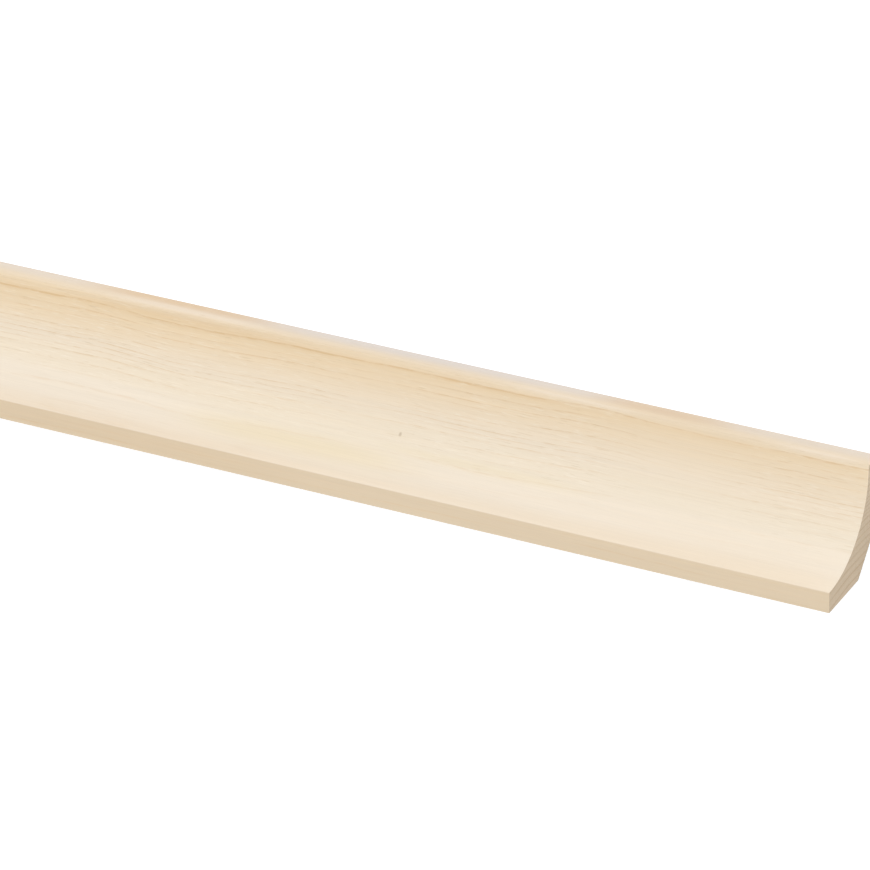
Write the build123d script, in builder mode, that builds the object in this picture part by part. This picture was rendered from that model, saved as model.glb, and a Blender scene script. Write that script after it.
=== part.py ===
"""Sprung cove moulding, planed from one board and lying on its flat back.

The frame is in millimetres. X runs along the length, Y across the board and Z up from the floor.
The origin is the middle of the flat back. When it is fitted, the bevel on the -Y side lies on the
wall, the bevel on the +Y side lies on the ceiling, and the hollow face looks into the room.
"""

from build123d import *
from math import cos, radians, sin, tan
import os

# What the board is planed to, and how long it is sold
length = 900.0
board_width = 45.0  # from one sharp edge to the other
board_thickness = 18.0  # from the flat back to the inner corners of the lips

# What the cutters leave
spring_angle = 45.0  # degrees between the flat back and the wall
lip_width = 6.5  # the flat square land beside each sharp edge
cove_radius = 25.0
arris_round = 0.4  # sanding takes this off the long edges

# The lips are square to their bevels, and their inner corners reach the front of the board
lean = radians(spring_angle)
wall_edge = (-board_width / 2, board_thickness - lip_width * cos(lean))
wall_lip = (-board_width / 2 + lip_width * sin(lean), board_thickness)
wall_back = (wall_edge[0] + wall_edge[1] / tan(lean), 0)
ceiling_edge = (board_width / 2, board_thickness - lip_width * sin(lean))
ceiling_lip = (board_width / 2 - lip_width * cos(lean), board_thickness)
ceiling_back = (ceiling_edge[0] - ceiling_edge[1] * tan(lean), 0)

os.makedirs("parts", exist_ok=True)

with BuildPart() as cove_moulding:
    with BuildSketch(Plane.YZ.offset(-length / 2)):
        with BuildLine():
            Polyline(wall_lip, wall_edge, wall_back, ceiling_back, ceiling_edge, ceiling_lip)
            RadiusArc(ceiling_lip, wall_lip, cove_radius)
        make_face()
    extrude(amount=length)
    fillet(cove_moulding.edges().filter_by(Axis.X), arris_round)

cove_moulding.part.label = "cove_moulding"
export_step(cove_moulding.part, "parts/cove_moulding.step")
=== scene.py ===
"""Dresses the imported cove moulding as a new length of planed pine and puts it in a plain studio.

The moulding lies on its flat back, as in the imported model. The makers' functions work in
millimetres. Places in the wood are given as they are when the moulding is fitted: x from the right
end (so x is never above zero), depth from the wall into the corner, height from the wall edge up.
"""

from math import acos, atan2, cos, pi, radians, sin, sqrt, tan
from types import SimpleNamespace

import bpy
import numpy as np
from bpy.props import FloatProperty, FloatVectorProperty, PointerProperty
from mathutils import Matrix, Vector


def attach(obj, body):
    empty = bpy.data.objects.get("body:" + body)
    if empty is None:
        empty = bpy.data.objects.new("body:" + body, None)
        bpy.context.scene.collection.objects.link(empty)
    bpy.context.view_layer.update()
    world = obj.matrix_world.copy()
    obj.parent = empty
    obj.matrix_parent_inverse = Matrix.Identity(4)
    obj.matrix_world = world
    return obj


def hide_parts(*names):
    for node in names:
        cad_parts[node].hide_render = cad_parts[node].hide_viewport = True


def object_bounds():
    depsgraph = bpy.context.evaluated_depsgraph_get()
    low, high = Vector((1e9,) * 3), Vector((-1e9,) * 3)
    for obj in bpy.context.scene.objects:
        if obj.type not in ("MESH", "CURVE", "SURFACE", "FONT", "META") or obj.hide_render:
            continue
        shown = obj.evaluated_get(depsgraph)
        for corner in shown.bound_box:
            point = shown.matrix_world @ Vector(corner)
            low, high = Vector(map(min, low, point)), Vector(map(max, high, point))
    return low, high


bl_info = {
    "name": "Pine cove moulding",
    "version": (1, 0, 0),
    "blender": (4, 5, 0),
    "location": "View3D > Sidebar > Moulding",
    "description": "Makes a length of planed pine cove moulding and the studio it is shown in",
    "category": "Add Mesh",
}

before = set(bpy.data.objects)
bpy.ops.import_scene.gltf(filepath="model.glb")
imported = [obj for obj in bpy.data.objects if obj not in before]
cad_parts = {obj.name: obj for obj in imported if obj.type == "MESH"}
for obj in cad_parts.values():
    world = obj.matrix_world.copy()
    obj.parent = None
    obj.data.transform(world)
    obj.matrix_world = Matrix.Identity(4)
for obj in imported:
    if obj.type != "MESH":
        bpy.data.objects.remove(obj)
cad_low, cad_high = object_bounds()

NODE = "cove_moulding"
PIECE = "pine_cove_moulding"
MM = 0.001  # metres in a millimetre
SPRING = radians(45)  # between the flat back and the wall


def linear(hex_colour):
    """The linear red, green and blue of an sRGB hex colour."""
    shares = [int(hex_colour[i : i + 2], 16) / 255 for i in (1, 3, 5)]
    return tuple(s / 12.92 if s <= 0.04045 else ((s + 0.055) / 1.055) ** 2.4 for s in shares)


def size(name, description, metres, least):
    """A length that the user can change."""
    return FloatProperty(
        name=name,
        description=description,
        default=metres,
        min=least,
        unit="LENGTH",
        subtype="DISTANCE",
    )


def tone(name, description, hex_colour):
    """A colour that the user can change."""
    return FloatVectorProperty(
        name=name,
        description=description,
        default=linear(hex_colour),
        min=0,
        max=1,
        subtype="COLOR",
    )


class CoveSection(bpy.types.PropertyGroup):
    length: size("Length", "From end to end", cad_high.x - cad_low.x, 0.05)
    width: size("Board width", "From one sharp edge to the other", 0.045, 0.02)
    thickness: size(
        "Board thickness", "From the flat back to the inner corners of the lips", 0.018, 0.01
    )
    lip: size("Lip width", "The flat land beside each sharp edge", 0.0065, 0.002)
    radius: size("Cove radius", "Radius of the hollow", 0.025, 0.02)
    arris: size("Arris round", "What sanding takes off the long edges", 0.0004, 0.0001)
    step: size("Step along", "Distance between the mesh's cross-sections", 0.004, 0.001)


class CovePine(bpy.types.PropertyGroup):
    earlywood: tone("Earlywood", "The pale wood that fills most of each growth ring", "#ECE0CE")
    honey: tone("Honey", "What the hollow warms to towards its ceiling edge", "#E7CFAA")
    straw: tone("Straw", "The yellower patches in the hollow, and faintly its middle", "#E7D6AD")
    # Partly the planed faces' own tone and partly painted shade: the wall lip, which faces away
    # from the softbox, takes it fully, and the ceiling lip, which faces the light, takes less
    planed: tone(
        "Planed faces", "The lips, bevels and back, which aren't sanded as the hollow is", "#D6C2A5"
    )
    # Painted sheen: a greyish painted reflection of the white surroundings on the outer half of the
    # ceiling lip, and faintly on the lowest part of the hollow
    painted_sheen: tone(
        "Greyed parts", "The outer half of the ceiling lip, and faintly the low hollow", "#D1C6BC"
    )
    # Partly streaks of pale figure and partly painted highlights along the ceiling lip's edge by
    # the hollow
    pale_and_highlight: tone("Bleached streaks", "Pale streaks along the ceiling lip", "#EADDCE")
    latewood: tone("Latewood", "The tan line that closes each growth ring", "#CDA467")
    resin: tone("Resin canals", "The fine dashes of cut resin canals", "#C0A67C")
    # Painted glints: pale dashes standing for light caught by fibres that the cutter lifted
    painted_glint: tone("Lifted fibres", "Pale dashes where the cutter lifted a fibre", "#F3E9D8")
    end_grain: tone("End grain", "The sawn ends, whose open fibres swallow light", "#B8A58C")
    end_latewood: tone("End latewood", "The growth lines on the sawn ends", "#997D5D")
    knot: tone("Pin knot", "The one tiny knot in the hollow", "#97805F")
    relief: size(
        "Relief", "How far sanding takes the soft earlywood below the latewood", 0.00001, 0
    )


class CoveStudio(bpy.types.PropertyGroup):
    floor: tone("Floor", "Matt opal sheet", "#F7F7F6")
    lamps: tone(
        "Lamps", "Cool lamps beneath the sheet, which offset the wood's warm shadow", "#D1E6FF"
    )
    floor_glow: FloatProperty(
        name="Floor glow",
        description="Brightness of the opal sheet from the lamps beneath it, which thins shadows",
        default=0.42,
        min=0,
    )
    sky_high: FloatProperty(
        name="Overhead light",
        description="Brightness of the white tent straight above",
        default=0.96,
        min=0,
    )
    sky_low: FloatProperty(
        name="Side light",
        description="Brightness of the white tent at the floor",
        default=1.14,
        min=0,
    )
    softbox: FloatProperty(
        name="Softbox",
        description="Power of the large softbox on the ceiling edge's side",
        default=4.5,
        min=0,
        unit="POWER",
    )
    lens: FloatProperty(
        name="Lens",
        description="Focal length of the camera, on a sensor 36 mm wide",
        default=220.8,
        min=10,
        unit="CAMERA",
    )


def in_mm(section):
    """The section's sizes in millimetres, by name."""
    names = CoveSection.__annotations__
    return SimpleNamespace(**{name: getattr(section, name) / MM for name in names})


# The board that the moulding was planed from

# Where each growth ring closes, in mm of height at the right end, and how strongly its line shows.
# The photographed face has the ones from 9.4 to 35. The others carry on in the same way.
RINGS = (
    (-11.0, 0.3), (-8.6, 0.25), (-6.5, 0.4), (-4.1, 0.2), (-2.2, 0.35), (0.1, 0.3), (2.3, 0.25),
    (4.9, 0.35), (7.2, 0.2), (9.4, 0.1), (11.3, 0.18), (13.3, 0.15), (15.2, 0.28), (17.2, 0.4),
    (18.4, 0.45), (19.5, 0.5), (20.7, 0.6), (21.8, 0.35), (23.0, 0.5), (24.8, 0.25), (26.4, 0.6),
    (28.5, 0.45), (31.4, 1.45), (33.5, 0.2), (34.95, 0.3), (36.6, 0.5), (38.8, 0.35), (40.4, 0.5),
    (42.7, 0.3), (44.6, 0.45), (47.0, 0.3),
)
RING_LEVELS, RING_STRENGTHS = np.array(RINGS).T
RING_RISE = 0.0087  # the rings climb this much per mm towards the right end
RING_RADIUS = 120.0  # mm from the middle of the tree
RING_CROWN = 16.0  # depth at which the rings are highest
# Slow waves in the rings, in mm: height and length of each, then its start and lag with depth
RING_WAVES = (
    (0.38, 180, 1.61, 0.02),
    (0.34, 85, 3.15, 0.04),
    (0.2, 52, 0.03, 0.07),
    (0.09, 31, 1.2, 0.3),
    (0.05, 17, 4.0, 0.6),
)
WAVES_FULL_FROM = 30.0  # height from which they have that size
WAVES_FLATTEN = 0.45  # how much lower they are at the wall edge
# Stretches where the growth lines stand out or nearly fade out: middle, half length and change
STRETCHES = (
    (-54, 18, -0.7),
    (-105, 34, 0.45),
    (-148, 8, -0.5),
    (-240, 28, 0.25),
    (-330, 30, -0.7),
    (-455, 12, -0.7),
    (-520, 40, 0.4),
    (-612, 38, -0.7),
    (-745, 20, -0.7),
    (-840, 36, 0.35),
)
# Patches of tone: x and half length, then depth, height and reach across, then strength
YELLOW_PATCHES = (
    (-166, 34, 9.9, 8.5, 4.2, 0.5),
    (-112, 32, 14.2, 10.8, 1.6, 0.3),
    (-395, 50, 13.0, 10.0, 4.0, 0.45),
    (-690, 45, 9.0, 8.2, 4.0, 0.5),
)
TAN_STREAKS = (
    (-212, 28, 30.2, 31.8, 2.4, 0.53),
    (-208, 32, 25.3, 30.2, 1.5, 0.12),
    (-62, 19, 29.8, 31.8, 2.6, 0.42),
    (-222, 60, 0.0, 3.4, 5.0, 0.1),
    (-198, 12, 0.0, 4.2, 1.8, 0.12),
    (-360, 42, 30.4, 31.8, 2.4, 0.3),
    (-450, 70, 0.0, 2.8, 3.5, 0.12),
    (-585, 34, 30.8, 31.8, 2.6, 0.4),
    (-720, 55, 0.0, 4.0, 3.0, 0.1),
    (-805, 48, 29.8, 31.8, 2.8, 0.3),
)
# Pale streaks on the ceiling lip: partly pale figure, partly painted highlights along its edge by
# the hollow
PALE_AND_HIGHLIGHT_STREAKS = (
    (-210, 24, 27.2, 31.8, 1.5, 0.4),
    (-88, 19, 25.9, 31.8, 0.9, 0.32),
    (-14, 11, 26.0, 31.8, 1.0, 0.36),
    (-352, 30, 27.0, 31.8, 1.3, 0.32),
    (-470, 26, 25.9, 31.8, 0.9, 0.32),
    (-640, 34, 26.6, 31.8, 1.2, 0.32),
    (-790, 24, 26.8, 31.8, 1.3, 0.32),
)
KNOT_AT = (-137.1, 17.75, 13.92)

# Slow changes along the moulding: mean, swing, length in mm and start
LIVELY_SWELL = (0.88, 0.12, 240, 1)
WARM_SWELL = (0.93, 0.07, 520, 4.35)
# the painted sheen on the ceiling lip comes and goes slowly along the length
SHEEN_SWELL = (0.8, 0.2, 220, 5.5)

# Where one face gives way to the next, in mm
FLAT_FROM = (0.05, 0.3)  # how far outside the hollow's circle the flat faces are
BEHIND_FROM = (0.3, 0.9)  # by how much depth exceeds height on the bevels and the back
CEILING_LIP_WITHIN = 0.5  # of the top
# where the painted sheen on the ceiling lip comes in
SHEEN_FROM = (0.9, 0.2)  # lip widths in from the ceiling lip's edge

# Heights between which a tone or mark comes in or goes, and how much of it there is
DASHES_IN, DASHES_BELOW = (8.5, 13), 0.25
HONEY_FROM, HONEY_OVER, HONEY_CURVE = 9.0, 20.5, 1.4
HONEY_EASES, HONEY_EASED = (29.2, 31.2), 0.3
STRAW_IN, STRAW_OUT, STRAW_AMOUNT = (10, 12), (14.5, 18), 0.1
# Below these heights the wood is warmer: painted warm light bounced inside the hollow
LOW_HONEY_OUT, LOW_HONEY = (6.6, 7.8), 0.2
# the painted sheen low in the hollow
LOW_SHEEN_OUT, LOW_SHEEN = (6.6, 10), 0.13

# How much stronger growth lines are on the bevels and the back, and how much weaker growth lines,
# honey and the planed tone with its painted shade are on the ceiling lip, which faces the light
LINES_BEHIND = 2.2
LINES_LESS, HONEY_LESS, PLANED_AND_SHADE_LESS = 0.8, 0.3, 0.3
GLINTS_LESS_PLANED, GLINTS_LESS_HONEY = 0.8, 0.5  # how few painted glints of lifted fibres planed or honey wood has
RING_AHEAD = 0.7  # how much of each ring goes with the growth line above it


def eased_step(values, start, end):
    """Goes smoothly from 0 at start to 1 at end."""
    share = np.clip((values - start) / (end - start), 0, 1)
    return share * share * (3 - 2 * share)


def swell(x, mean, swing, length, start):
    """A slow rise and fall along the moulding."""
    return mean + swing * np.sin(2 * pi * x / length + start)


def patches_at(x, depth, height, patches):
    """How strongly the nearest patch shows, from 0 to its strength."""
    shown = np.zeros(len(x))
    for middle, half, patch_depth, patch_height, reach, strength in patches:
        across = np.hypot(depth - patch_depth, height - patch_height) / reach
        shown = np.maximum(shown, strength * np.exp(-(((x - middle) / half) ** 4) - across**2))
    return shown


def as_fitted(points, mm):
    """Turns points of the lying moulding, from its middle, to x, depth and height."""
    across = points[:, 1] + mm.width / 2
    up = points[:, 2] - (mm.thickness - mm.lip * cos(SPRING))
    depth = across * cos(SPRING) - up * sin(SPRING)
    height = across * sin(SPRING) + up * cos(SPRING)
    return points[:, 0] - mm.length / 2, depth, height


def as_lying(x, depth, height, mm):
    """Turns a place given by x, depth and height to a point of the lying moulding."""
    across = depth * cos(SPRING) + height * sin(SPRING) - mm.width / 2
    up = height * cos(SPRING) - depth * sin(SPRING) + mm.thickness - mm.lip * cos(SPRING)
    return Vector((x + mm.length / 2, across, up))


def growth_at(x, depth, height):
    """Counts growth rings up from the lowest, so each whole number is a latewood line."""
    level = height - RING_RISE * x + (depth - RING_CROWN) ** 2 / (2 * RING_RADIUS)
    swing = 1 - WAVES_FLATTEN * np.clip(1 - height / WAVES_FULL_FROM, 0, 1)
    for wave_height, wave_length, start, lag in RING_WAVES:
        level += swing * wave_height * np.sin(2 * pi * x / wave_length + start + lag * depth)
    return np.interp(level, RING_LEVELS, np.arange(len(RINGS)))


def wood_at(points, mm):
    """What the finishes read at each point, by name, mostly from 0 to 1.

    growth counts rings, and figure is how strongly their lines show. dashed is how many resin
    canals there are, and glinting is how many painted glints of lifted fibres there are. warmth is
    how honey-coloured the hollow is, and low down by the wall lip it is partly painted warm bounce
    light.
    planed marks the faces that aren't sanded, whose darker tone is partly painted shade.
    painted_sheen is a painted greyish reflection on the outer half of the ceiling lip and the
    lowest part of the hollow. yellowed and tanned are patches and streaks, and pale_and_highlight
    is pale streaks of figure and painted highlights on the ceiling lip.
    """
    x, depth, height = as_fitted(points, mm)
    leg = mm.width * cos(SPRING)

    # The hollow's middle is near the front corner of the fitted moulding's square
    to_lips = leg - mm.lip
    off_square = (to_lips - sqrt(2 * mm.radius**2 - to_lips**2)) / 2
    reach = np.hypot(depth - off_square, height - (leg - off_square))
    flat = eased_step(reach, *(mm.radius + further for further in FLAT_FROM))
    behind = flat * eased_step(depth - height, *BEHIND_FROM)
    ceiling_lip = flat * (height > leg - CEILING_LIP_WITHIN) * (1 - behind)

    growth = growth_at(x, depth, height)
    lively = swell(x, *LIVELY_SWELL)
    for middle, half, change in STRETCHES:
        lively *= 1 + change * (1 - flat) * np.exp(-(((x - middle) / half) ** 4))
    nearest_line = np.floor(growth + RING_AHEAD).astype(int)
    figure = lively * RING_STRENGTHS[np.clip(nearest_line, 0, len(RINGS) - 1)]
    dashes = np.maximum(behind, eased_step(height, *DASHES_IN))
    dashed = lively * (DASHES_BELOW + (1 - DASHES_BELOW) * dashes)

    honey = np.clip((height - HONEY_FROM) / HONEY_OVER, 0, 1) ** HONEY_CURVE
    warmth = honey * (1 - HONEY_LESS * ceiling_lip)
    warmth *= 1 - HONEY_EASED * (1 - flat) * eased_step(height, *HONEY_EASES)
    warmth *= swell(x, *WARM_SWELL)
    # Warmer low down by the wall lip: painted warm bounce light
    warmth += LOW_HONEY * (1 - eased_step(height, *LOW_HONEY_OUT))
    # The flat faces' darker tone is partly painted shade, so the ceiling lip, which faces the
    # light, takes less of it
    planed = flat * (1 - PLANED_AND_SHADE_LESS * ceiling_lip)
    # Painted sheen: a greyish painted reflection on the outer half of the ceiling lip, varying
    # along the length, and faintly low in the hollow
    painted_sheen = ceiling_lip * eased_step(depth, *(leg - share * mm.lip for share in SHEEN_FROM))
    painted_sheen *= swell(x, *SHEEN_SWELL)
    painted_sheen += LOW_SHEEN * (1 - flat) * (1 - eased_step(height, *LOW_SHEEN_OUT))
    mid_hollow = (1 - flat) * eased_step(height, *STRAW_IN) * (1 - eased_step(height, *STRAW_OUT))
    return {
        "growth": growth,
        "figure": figure * (1 + LINES_BEHIND * behind - LINES_LESS * ceiling_lip),
        "dashed": dashed,
        # where painted glints of lifted fibres go, fewer on the flat faces and in honey wood
        "glinting": dashed * (1 - GLINTS_LESS_PLANED * planed) * (1 - GLINTS_LESS_HONEY * honey),
        "warmth": warmth,
        "planed": planed,
        "painted_sheen": painted_sheen,
        "yellowed": patches_at(x, depth, height, YELLOW_PATCHES) + STRAW_AMOUNT * mid_hollow,
        "tanned": patches_at(x, depth, height, TAN_STREAKS),
        "pale_and_highlight": patches_at(x, depth, height, PALE_AND_HIGHLIGHT_STREAKS),
    }


# The moulding's shape

ROUND_STEPS = 4  # facets of each sanded arris
LIP_STEPS, COVE_STEPS, BEVEL_STEPS, BACK_STEPS = 12, 84, 35, 38
HIGHEST_BEFORE = 0.12  # how far below each growth line the sanded wood stands highest, in rings
END_ROWS = 30  # rows of the mesh on each sawn end, from the hollow to the back
SHARP = radians(35)  # edges that turn more than this stay sharp
SAWN_ARRIS = (0.25, 0.10)  # what the saw breaks off the end's rim, along and across
END_RECESS = 0.03  # how far the broken-out fibres leave the end's middle behind its rim
SAW_TILT = radians(68)  # of the blade's path on the end
SAW_BOW = 150.0  # radius of the scores that the blade leaves
SAW_SCORES = ((0.018, 1.9, 0.0), (0.011, 1.13, 1.3))  # depth, spacing and start

# Where the faces lie on the map: the long faces, and the ends one above the other beside them
MAP_RIM = 0.004
SIDES_ACROSS = (0.004, 0.796)
ENDS_FROM, END_LOWEST, END_WIDTH = 0.812, (0.02, 0.53), 0.45


def unit(vector):
    """The same direction with a length of one."""
    return vector / np.linalg.norm(vector)


def rounded(corner, before, after, radius):
    """Points round a sanded corner, given the directions of the sides that meet there."""
    half = acos(np.clip(unit(before) @ unit(after), -1, 1)) / 2
    centre = corner + unit(unit(before) + unit(after)) * radius / sin(half)
    first = corner + unit(before) * radius / tan(half) - centre
    last = corner + unit(after) * radius / tan(half) - centre
    start = atan2(first[1], first[0])
    turn = (atan2(last[1], last[0]) - start + pi) % (2 * pi) - pi
    angles = start + turn * np.linspace(0, 1, ROUND_STEPS + 1)
    return centre + radius * np.stack([np.cos(angles), np.sin(angles)], 1)


def between(start, end, steps):
    """The points that divide a straight side into steps, without its ends."""
    return start + (end - start) * np.linspace(0, 1, steps + 1)[1:-1, None]


def section_outline(mm):
    """Y and Z of the section, from the middle of the wall edge over the hollow and back."""
    edge_height = mm.thickness - mm.lip * cos(SPRING)
    edge = np.array([mm.width / 2, edge_height])
    lip_corner = np.array([mm.width / 2 - mm.lip * sin(SPRING), mm.thickness])
    back = np.array([mm.width / 2 - edge_height * tan(SPRING), 0.0])
    centre = np.array([0.0, mm.thickness + sqrt(mm.radius**2 - lip_corner[0] ** 2)])
    into_cove = np.array([-(centre[1] - lip_corner[1]), -lip_corner[0]])

    # The ceiling half, from the lip's inner corner round to the back
    lip_round = rounded(lip_corner, into_cove, edge - lip_corner, mm.arris)
    edge_round = rounded(edge, lip_corner - edge, back - edge, mm.arris)
    back_round = rounded(back, edge - back, np.array([-1.0, 0.0]), mm.arris)
    lip_flat = between(lip_round[-1], edge_round[0], LIP_STEPS)
    bevel_flat = between(edge_round[-1], back_round[0], BEVEL_STEPS)
    ceiling_half = np.concatenate([lip_round, lip_flat, edge_round, bevel_flat, back_round])
    wall_half = ceiling_half[::-1] * (-1, 1)

    swing = acos((centre[1] - lip_round[0][1]) / mm.radius)
    angles = np.linspace(-swing, swing, COVE_STEPS + 1)[1:-1]
    cove = centre + mm.radius * np.stack([np.sin(angles), -np.cos(angles)], 1)
    back_flat = between(ceiling_half[-1], wall_half[0], BACK_STEPS)
    outline = np.concatenate([wall_half, cove, ceiling_half, back_flat])
    to_edge_middle = len(back_round) + len(bevel_flat) + ROUND_STEPS // 2
    return np.roll(outline, -to_edge_middle, axis=0)


def outward(outline):
    """The outward normals of a closed outline that runs clockwise seen from the right end."""
    along = np.roll(outline, -1, axis=0) - np.roll(outline, 1, axis=0)
    normal = np.stack([-along[:, 1], along[:, 0]], 1)
    return normal / np.linalg.norm(normal, axis=1, keepdims=True)


def long_faces(mm, relief):
    """Points, faces and map places of the long faces, from the left end to the right one."""
    inner = mm.length / 2 - SAWN_ARRIS[0]
    stations = np.linspace(-inner, inner, round(2 * inner / mm.step) + 1)
    stations = np.concatenate([[-mm.length / 2], stations, [mm.length / 2]])
    outline = section_outline(mm)
    normals = outward(outline)
    around = len(outline)
    points = np.column_stack([np.repeat(stations, around), np.tile(outline, (len(stations), 1))])

    # Sanding leaves the latewood a little proud of the earlywood
    growth = growth_at(*as_fitted(points, mm))
    sunk = relief * (0.5 - 0.5 * np.cos(2 * pi * (growth + HIGHEST_BEFORE)))
    points[:, 1:] -= np.tile(normals, (len(stations), 1)) * sunk[:, None]
    for end in (slice(0, around), slice(-around, None)):
        points[end, 1:] -= normals * SAWN_ARRIS[1]

    corners = np.arange(around)
    following = (corners + 1) % around
    starts = np.arange(len(stations) - 1)[:, None] * around
    faces = [starts + corners, starts + corners + around]
    faces += [starts + following + around, starts + following]

    run = np.linalg.norm(np.diff(outline, axis=0, append=outline[:1]), axis=1)
    unrolled = np.concatenate([[0], np.cumsum(run)]) / run.sum()
    u = SIDES_ACROSS[0] + (SIDES_ACROSS[1] - SIDES_ACROSS[0]) * unrolled
    v = MAP_RIM + (1 - 2 * MAP_RIM) * (stations - stations[0]) / mm.length
    left, right, low, high = u[None, :-1], u[None, 1:], v[:-1, None], v[1:, None]
    places = [(left, low), (left, high), (right, high), (right, low)]
    places = [np.stack(np.broadcast_arrays(*place), -1) for place in places]
    return points, np.stack(faces, -1).reshape(-1, 4), np.stack(places, 2).reshape(-1, 2)


def saw_scores(points):
    """How far the saw's teeth dug into the end: shallow scores, bowed as the blade turned."""
    along = points[:, 1] * cos(SAW_TILT) + points[:, 2] * sin(SAW_TILT)
    across = points[:, 2] * cos(SAW_TILT) - points[:, 1] * sin(SAW_TILT)
    bowed = across + along**2 / (2 * SAW_BOW)
    return sum(
        depth * np.sin(2 * pi * bowed / spacing + start) for depth, spacing, start in SAW_SCORES
    )


def sawn_end(points, first, around, facing, lowest, mm):
    """New points, faces and map places of one sawn end, in rows from the hollow to the back."""
    half = around // 2
    rim = points[first : first + around]
    front, back = rim[1:half], rim[:half:-1]
    shares = np.linspace(0, 1, END_ROWS + 1)[1:-1, None, None]
    inner = (front + (back - front) * shares).reshape(-1, 3)
    inner[:, 0] -= facing * (END_RECESS + saw_scores(inner))
    rows = np.vstack(
        [
            first + np.arange(1, half),
            len(points) + np.arange(len(inner)).reshape(-1, half - 1),
            first + np.arange(around - 1, half, -1),
        ]
    ).tolist()
    faces = []
    for row, below in zip(rows[:-1], rows[1:]):
        faces += [list(corners) for corners in zip(row[:-1], row[1:], below[1:], below[:-1])]
        faces += [[first, row[0], below[0]], [first + half, below[-1], row[-1]]]
    if facing > 0:
        faces = [face[::-1] for face in faces]
    spots = np.concatenate([points, inner])[[number for face in faces for number in face]]
    scale = END_WIDTH / mm.width
    places = [ENDS_FROM + spots[:, 2] * scale, lowest + (spots[:, 1] + mm.width / 2) * scale]
    return inner, faces, np.column_stack(places)


def moulding_mesh(section, relief):
    """The whole moulding as one closed mesh, with its wood in the mesh's attributes."""
    mm = in_mm(section)
    points, sides, places = long_faces(mm, relief / MM)
    around = len(section_outline(mm))
    faces, places = sides.tolist(), [places]
    for first, facing, lowest in zip((0, len(points) - around), (-1, 1), END_LOWEST):
        inner, end_faces, end_places = sawn_end(points, first, around, facing, lowest, mm)
        points = np.concatenate([points, inner])
        faces += end_faces
        places.append(end_places)

    mesh = bpy.data.meshes.new(PIECE)
    mesh.from_pydata((points * MM).tolist(), [], faces)
    mesh.update()
    layer = mesh.uv_layers.new(name="OFBake")
    layer.data.foreach_set("uv", np.concatenate(places).astype(np.float32).ravel())
    for name, values in wood_at(points, mm).items():
        attribute = mesh.attributes.new(name, "FLOAT", "POINT")
        attribute.data.foreach_set("value", values.astype(np.float32))
    sawn = np.arange(len(faces)) >= len(sides)
    mesh.polygons.foreach_set("material_index", sawn.astype(np.int32))
    mesh.polygons.foreach_set("use_smooth", np.ones(len(faces), bool))
    mesh.set_sharp_from_angle(angle=SHARP)
    return mesh


# The finishes

# Sizes of the patterns in mm, along the moulding and then across it
GRAIN = {
    "drift": (260.0, 9.0, 9.0),  # slow change of tone along a board
    "streak": (85.0, 1.7, 1.7),  # bundles of fibres that took up more or less resin
    "fibre": (16.0, 0.28, 0.28),  # bunches of fibres, since one is 0.04 mm wide and doesn't show
    "canal": (5.5, 0.34, 0.34),  # resin canals that the plane cut open, drawn twice as wide
    "painted_glint": (4.6, 0.42, 0.42),  # painted glints standing for pale fibres that the cutter lifted
    "dash": (3.4, 0.7, 0.7),  # breaks in a growth line
    "patch": (30.0, 1.6, 1.6),  # stretches where a growth line fades out and comes back
}
# What the patterns do: which one, the two levels of it, and what is wanted at each
GRAIN_EFFECTS = {
    "warmer": ("drift", 0.3, 0.7, -0.1, 0.1),
    "fading": ("patch", 0.4, 0.56, 0.4, 1.8),
    "broken": ("dash", 0.4, 0.56, 0.35, 1.15),
    "canals": ("canal", 0.6, 0.72, 0.0, 0.27),
    "painted_glints": ("painted_glint", 0.55, 0.68, 0.0, 0.45),
    "board tone": ("drift", 0.3, 0.7, 0.985, 1.015),
    "streak tone": ("streak", 0.3, 0.7, 0.982, 1.015),
    "fibre tone": ("fibre", 0.3, 0.7, 0.978, 1.018),
    "roughness": ("fibre", 0.3, 0.7, 0.5, 0.6),
}
# The same on the sawn ends: into the end, across the rays of the rings, and along them
END_GRAIN = {
    "pores": (1.0, 0.3, 0.3),  # bunches of cut fibres
    "rays": (1.0, 0.2, 2.4),  # bunches of rays from the pith outwards
    "scores": (1.0, 22.0, 0.5),  # light and dark tooth marks
}
END_EFFECTS = {
    "pores tone": ("pores", 0.3, 0.7, 0.93, 1.07),
    "rays tone": ("rays", 0.3, 0.7, 0.97, 1.03),
    "scores tone": ("scores", 0.3, 0.7, 0.96, 1.04),
}
# Latewood through one ring: how far through, and how dark
RING_STOPS = ((0, 0.12), (0.05, 0), (0.5, 0.02), (0.76, 0.12), (0.86, 0.5), (0.93, 1), (1, 0.15))
RING_WANDER = 0.26  # how far the streaks shift a growth line, in rings
LINE_SHARE = 0.42  # how much latewood colour the strongest growth lines take
END_LINE_SHARE = (0.25, 0.6)  # the same on the sawn ends, for the weakest and the strongest
KNOT_SIZE = (0.2, 0.6)  # mm from the knot's middle to where it starts to fade and is gone
KNOT_SHARE = 0.42

# Each pattern's finer copies, and the finishes' gloss and bump, whose distances are in metres
GRAIN_DETAIL, END_DETAIL, DETAIL_ROUGHNESS = 3.0, 2.0, 0.55
PINE_IOR = 1.45
FIBRE_BUMP = {"Strength": 0.5, "Distance": 0.00003}
SAWN_BUMP = {"Strength": 0.6, "Distance": 0.00008}
SAWN_GLOSS = {"Roughness": 0.85, "IOR": PINE_IOR, "Specular IOR Level": 0.3}
ACRYLIC_GLOSS = {"Roughness": 0.9, "IOR": 1.49, "Specular IOR Level": 0.2}
NODE_SPACING = 180  # in the node editor, where the nodes stand in a row


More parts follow.
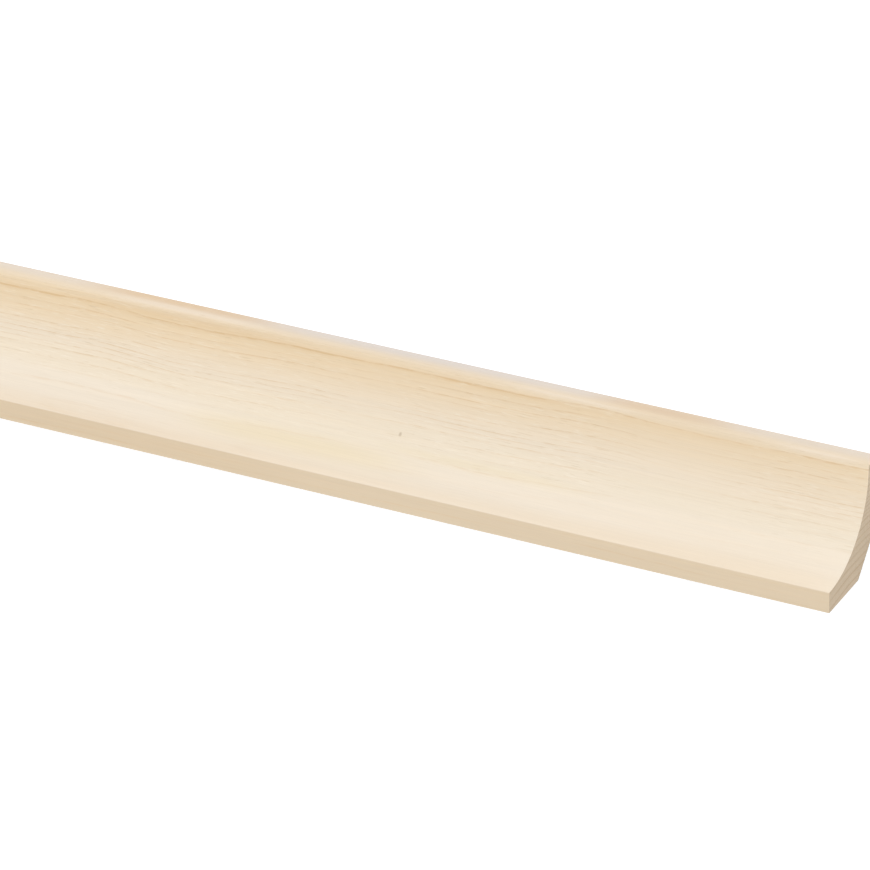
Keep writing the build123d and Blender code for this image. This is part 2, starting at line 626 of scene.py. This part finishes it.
def add_node(tree, kind, inputs=None, stops=None, **settings):
    """Adds a node. inputs maps a socket to a value, or to the node or socket that feeds it."""
    node = tree.nodes.new(kind)
    node.location.x = NODE_SPACING * len(tree.nodes)
    for name, value in settings.items():
        setattr(node, name, value)
    for name, value in (inputs or {}).items():
        if isinstance(name, int):
            socket = node.inputs[name]
        else:
            socket = next(each for each in node.inputs if each.enabled and each.name == name)
        if isinstance(value, bpy.types.Node):
            value = next(each for each in value.outputs if each.enabled)
        if isinstance(value, bpy.types.NodeSocket):
            tree.links.new(value, socket)
        else:
            socket.default_value = (*value, 1) if socket.type == "RGBA" else value
    for place, (position, share) in enumerate(stops or []):
        elements = node.color_ramp.elements
        element = elements[place] if place < 2 else elements.new(position)
        element.position, element.color = position, (share, share, share, 1)
    return node


def new_finish(name):
    """A material by this name with nothing in it yet, and its node tree."""
    material = bpy.data.materials.new(name)
    material.use_nodes = True
    material.node_tree.nodes.clear()
    return material, material.node_tree


def place_in_mm(tree):
    """Where each point of the moulding lies, in millimetres."""
    metres = add_node(tree, "ShaderNodeTexCoord").outputs["Object"]
    return add_node(tree, "ShaderNodeVectorMath", {0: metres, "Scale": 1 / MM}, operation="SCALE")


def wood_patterns(tree, place, sizes, effects, detail):
    """The patterns by name, as noise stretched to their sizes, and what they do by name."""
    noise, effect = {}, {}
    for name, lengths in sizes.items():
        squeeze = [1 / length for length in lengths]
        stretched = add_node(
            tree, "ShaderNodeVectorMath", {0: place, 1: squeeze}, operation="MULTIPLY"
        )
        noise[name] = add_node(
            tree,
            "ShaderNodeTexNoise",
            {
                "Vector": stretched,
                "Scale": 1.0,
                "Detail": detail,
                "Roughness": DETAIL_ROUGHNESS,
            },
        )
    for name, (pattern, low, high, at_low, at_high) in effects.items():
        levels = {"From Min": low, "From Max": high, "To Min": at_low, "To Max": at_high}
        effect[name] = add_node(tree, "ShaderNodeMapRange", {"Value": noise[pattern], **levels})
    return noise, effect


def pine_rings(tree, ripple):
    """Latewood from 0 to 1: it comes up slowly through each ring and stops at once."""
    growth = add_node(tree, "ShaderNodeAttribute", attribute_name="growth").outputs["Fac"]
    limits = {"To Min": -RING_WANDER / 2, "To Max": RING_WANDER / 2}
    shift = add_node(tree, "ShaderNodeMapRange", {"Value": ripple, **limits})
    level = add_node(tree, "ShaderNodeMath", {0: growth, 1: shift}, operation="ADD")
    phase = add_node(tree, "ShaderNodeMath", {0: level}, operation="FRACT")
    return add_node(tree, "ShaderNodeValToRGB", {"Fac": phase}, stops=RING_STOPS)


def planed_pine(pine, mm):
    """Planed and sanded pine, unfinished: pale and silky, with fine tan lines along the grain.

    The plane leaves a satin surface, so it shows a soft, broad shine and no mirror image. Short
    dark dashes are resin canals. Bunches of fibres give it a fine streak along the length. Its
    colour
    also holds painted light: pale dashes of painted glint, painted highlights and a painted greyish
    sheen on the ceiling lip, painted shade in the flat faces' tone, and painted warm bounce light
    low in the hollow.
    """
    material, tree = new_finish("planed_pine")
    place = place_in_mm(tree)
    noise, effect = wood_patterns(tree, place, GRAIN, GRAIN_EFFECTS, GRAIN_DETAIL)
    wood = {
        name: add_node(tree, "ShaderNodeAttribute", attribute_name=name).outputs["Fac"]
        for name in (
            "figure", "dashed", "glinting", "warmth", "yellowed", "planed", "painted_sheen", "tanned",
            "pale_and_highlight",
        )
    }
    warm = add_node(
        tree,
        "ShaderNodeMath",
        {0: wood["warmth"], 1: effect["warmer"]},
        operation="ADD",
        use_clamp=True,
    )
    lines = pine_rings(tree, noise["streak"])
    for part in (wood["figure"], effect["fading"], effect["broken"]):
        lines = add_node(tree, "ShaderNodeMath", {0: lines, 1: part}, operation="MULTIPLY")
    lines = add_node(tree, "ShaderNodeMapRange", {"Value": lines, "To Max": LINE_SHARE})
    # Resin canals, and painted glints of lifted fibres
    canals, painted_glints = (
        add_node(tree, "ShaderNodeMath", {0: effect[dashes], 1: wood[share]}, operation="MULTIPLY")
        for dashes, share in (("canals", "dashed"), ("painted_glints", "glinting"))
    )

    # The pin knot runs from the pith outwards, which is straight up when the moulding is fitted
    from_knot = add_node(
        tree, "ShaderNodeVectorMath", {0: place, 1: as_lying(*KNOT_AT, mm)}, operation="SUBTRACT"
    )
    beside = add_node(
        tree,
        "ShaderNodeVectorMath",
        {0: from_knot, 1: (0, sin(SPRING), cos(SPRING))},
        operation="CROSS_PRODUCT",
    )
    off = add_node(tree, "ShaderNodeVectorMath", {0: beside}, operation="LENGTH")
    inner, outer = KNOT_SIZE
    in_knot = add_node(
        tree,
        "ShaderNodeMapRange",
        {"Value": off, "From Min": inner, "From Max": outer, "To Min": KNOT_SHARE, "To Max": 0.0},
    )

    colour = pine.earlywood
    for share, towards in (
        (warm, pine.honey),
        (wood["yellowed"], pine.straw),
        # planed tone, partly painted shade
        (wood["planed"], pine.planed),
        # painted greyish sheen
        (wood["painted_sheen"], pine.painted_sheen),
        (wood["tanned"], pine.latewood),
        # pale figure and painted highlights on the ceiling lip
        (wood["pale_and_highlight"], pine.pale_and_highlight),
        (lines, pine.latewood),
        (canals, pine.resin),
        # painted glints
        (painted_glints, pine.painted_glint),
        (in_knot, pine.knot),
    ):
        colour = add_node(
            tree, "ShaderNodeMix", {"Factor": share, "A": colour, "B": towards}, data_type="RGBA"
        )
    for name in ("board tone", "streak tone", "fibre tone"):
        colour = add_node(
            tree, "ShaderNodeVectorMath", {0: colour, "Scale": effect[name]}, operation="SCALE"
        )

    height = add_node(tree, "ShaderNodeMath", {0: noise["fibre"], 1: canals}, operation="SUBTRACT")
    bump = add_node(tree, "ShaderNodeBump", {**FIBRE_BUMP, "Height": height})
    shader = add_node(
        tree,
        "ShaderNodeBsdfPrincipled",
        {
            "Base Color": colour,
            "Roughness": effect["roughness"],
            "IOR": PINE_IOR,
            "Normal": bump,
        },
    )
    add_node(tree, "ShaderNodeOutputMaterial", {"Surface": shader})
    return material


def sawn_end_grain(pine):
    """End grain of pine as a fine saw leaves it: darker than the faces, matt and faintly scored.

    The cut fibres stand open like straws and swallow light. The growth lines are seen end on.
    """
    material, tree = new_finish("sawn_pine_end_grain")
    turned = add_node(
        tree,
        "ShaderNodeVectorRotate",
        {"Vector": place_in_mm(tree), "Angle": SPRING},
        rotation_type="X_AXIS",
    )
    noise, effect = wood_patterns(tree, turned, END_GRAIN, END_EFFECTS, END_DETAIL)
    figure = add_node(tree, "ShaderNodeAttribute", attribute_name="figure").outputs["Fac"]
    weakest, strongest = END_LINE_SHARE
    strength = add_node(
        tree, "ShaderNodeMapRange", {"Value": figure, "To Min": weakest, "To Max": strongest}
    )
    late = pine_rings(tree, noise["pores"])
    lines = add_node(tree, "ShaderNodeMath", {0: late, 1: strength}, operation="MULTIPLY")
    colour = add_node(
        tree,
        "ShaderNodeMix",
        {"Factor": lines, "A": pine.end_grain, "B": pine.end_latewood},
        data_type="RGBA",
    )
    for name in END_EFFECTS:
        colour = add_node(
            tree, "ShaderNodeVectorMath", {0: colour, "Scale": effect[name]}, operation="SCALE"
        )
    height = add_node(
        tree, "ShaderNodeMath", {0: noise["pores"], 1: noise["scores"]}, operation="ADD"
    )
    bump = add_node(tree, "ShaderNodeBump", {**SAWN_BUMP, "Height": height})
    shader = add_node(
        tree, "ShaderNodeBsdfPrincipled", {"Base Color": colour, "Normal": bump, **SAWN_GLOSS}
    )
    add_node(tree, "ShaderNodeOutputMaterial", {"Surface": shader})
    return material


def opal_sheet(studio):
    """Matt opal acrylic, lit from beneath: a plain white floor with no shine or dark shadows."""
    material, tree = new_finish("matt_opal_acrylic")
    shader = add_node(
        tree,
        "ShaderNodeBsdfPrincipled",
        {
            "Base Color": studio.floor,
            "Emission Color": studio.lamps,
            "Emission Strength": studio.floor_glow,
            **ACRYLIC_GLOSS,
        },
    )
    add_node(tree, "ShaderNodeOutputMaterial", {"Surface": shader})
    return material


# The operators


class COVE_OT_moulding(bpy.types.Operator):
    """Makes the length of moulding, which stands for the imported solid"""

    bl_idname = "cove.moulding"
    bl_label = "Make the moulding"

    def execute(self, context):
        scene = context.scene
        mesh = moulding_mesh(scene.cove_section, scene.cove_pine.relief)
        mesh.materials.append(planed_pine(scene.cove_pine, in_mm(scene.cove_section)))
        mesh.materials.append(sawn_end_grain(scene.cove_pine))
        piece = bpy.data.objects.new(PIECE, mesh)
        scene.collection.objects.link(piece)
        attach(piece, "root")
        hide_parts(NODE)
        return {"FINISHED"}


# The view: the photograph shows the moulding as it is fitted, from its right end and above
VIEW_AZIMUTH, VIEW_ELEVATION, VIEW_ROLL = radians(29.014), radians(29.087), radians(-2.267)
VIEW_DISTANCE = 1440.2  # mm
LOOK_AT = (-116.34, 0.0, 27.15)  # x, depth and height
SENSOR_WIDTH = 36.0  # mm
NEAR, FAR = 0.05, 60.0  # metres that the camera sees between
FLOOR_SIZE = 30.0  # metres
FLOOR_GAP = 0.00005  # metres between the floor and the moulding, so that they don't share a plane
SOFTBOX_AT = (0.1, 1.3, 1.25)  # metres
SOFTBOX_SIZE = (2.2, 1.4)  # metres


def white_tent(world, studio):
    """Even white light from all round, a little brighter near the floor than overhead."""
    world.use_nodes = True
    tree = world.node_tree
    tree.nodes.clear()
    way = add_node(tree, "ShaderNodeTexCoord").outputs["Generated"]
    parts = add_node(tree, "ShaderNodeSeparateXYZ", {0: way})
    strength = add_node(
        tree,
        "ShaderNodeMapRange",
        {"Value": parts.outputs["Z"], "To Min": studio.sky_low, "To Max": studio.sky_high},
    )
    light = add_node(tree, "ShaderNodeBackground", {"Color": (1, 1, 1), "Strength": strength})
    add_node(tree, "ShaderNodeOutputWorld", {"Surface": light})


def photo_view(mm):
    """Where the camera stands in the lying frame, and which way it is turned."""
    back = Vector(
        (
            sin(VIEW_AZIMUTH) * cos(VIEW_ELEVATION),
            -cos(VIEW_AZIMUTH) * cos(VIEW_ELEVATION),
            sin(VIEW_ELEVATION),
        )
    )
    level = Vector((cos(VIEW_AZIMUTH), sin(VIEW_AZIMUTH), 0))
    upright = back.cross(level)
    right = level * cos(VIEW_ROLL) + upright * sin(VIEW_ROLL)
    up = upright * cos(VIEW_ROLL) - level * sin(VIEW_ROLL)
    laid_down = Matrix.Rotation(-SPRING, 3, "X")
    turned = laid_down @ Matrix((right, up, back)).transposed()
    spot = (as_lying(*LOOK_AT, mm) + laid_down @ back * VIEW_DISTANCE) * MM
    return Matrix.Translation(spot) @ turned.to_4x4()


class COVE_OT_stage(bpy.types.Operator):
    """Makes the floor, the lights and the camera"""

    bl_idname = "cove.stage"
    bl_label = "Make the studio"

    def execute(self, context):
        scene, studio = context.scene, context.scene.cove_studio
        half = FLOOR_SIZE / 2
        corners = [(-half, -half), (half, -half), (half, half), (-half, half)]
        sheet = bpy.data.meshes.new("floor")
        sheet.from_pydata([(x, y, -FLOOR_GAP) for x, y in corners], [], [(0, 1, 2, 3)])
        sheet.materials.append(opal_sheet(studio))
        floor = bpy.data.objects.new("floor", sheet)
        scene.collection.objects.link(floor)

        scene.world = scene.world or bpy.data.worlds.new("studio")
        white_tent(scene.world, studio)
        softbox = bpy.data.lights.new("softbox", "AREA")
        softbox.shape = "RECTANGLE"
        softbox.size, softbox.size_y = SOFTBOX_SIZE
        softbox.energy = studio.softbox
        lamp = bpy.data.objects.new("softbox", softbox)
        lamp.location = SOFTBOX_AT
        lamp.rotation_mode = "QUATERNION"
        lamp.rotation_quaternion = lamp.location.to_track_quat("Z", "Y")
        lamp.visible_camera = False
        scene.collection.objects.link(lamp)

        lens = bpy.data.cameras.new("camera")
        lens.sensor_width, lens.lens = SENSOR_WIDTH, studio.lens
        lens.clip_start, lens.clip_end = NEAR, FAR
        camera = bpy.data.objects.new("camera", lens)
        camera.matrix_world = photo_view(in_mm(scene.cove_section))
        scene.collection.objects.link(camera)
        scene.camera = camera
        scene.view_settings.view_transform = "Standard"
        return {"FINISHED"}


class COVE_PT_moulding(bpy.types.Panel):
    """Lists the moulding's sizes, finishes and studio"""

    bl_idname = "COVE_PT_moulding"
    bl_label = "Pine cove moulding"
    bl_space_type = "VIEW_3D"
    bl_region_type = "UI"
    bl_category = "Moulding"

    def draw(self, context):
        for name, group in GROUPS.items():
            box = self.layout.box()
            for each in group.__annotations__:
                box.prop(getattr(context.scene, name), each)
        self.layout.operator(COVE_OT_moulding.bl_idname)
        self.layout.operator(COVE_OT_stage.bl_idname)


GROUPS = {"cove_section": CoveSection, "cove_pine": CovePine, "cove_studio": CoveStudio}
CLASSES = (*GROUPS.values(), COVE_OT_moulding, COVE_OT_stage, COVE_PT_moulding)


def register():
    """Adds the classes, and the settings that each scene keeps."""
    for each in CLASSES:
        bpy.utils.register_class(each)
    for name, group in GROUPS.items():
        setattr(bpy.types.Scene, name, PointerProperty(type=group))


def unregister():
    """Takes them out again."""
    for name in GROUPS:
        delattr(bpy.types.Scene, name)
    for each in reversed(CLASSES):
        bpy.utils.unregister_class(each)


def main():
    """Makes the moulding and the studio."""
    register()
    bpy.ops.cove.moulding()
    bpy.ops.cove.stage()


if __name__ == "__main__":
    main()
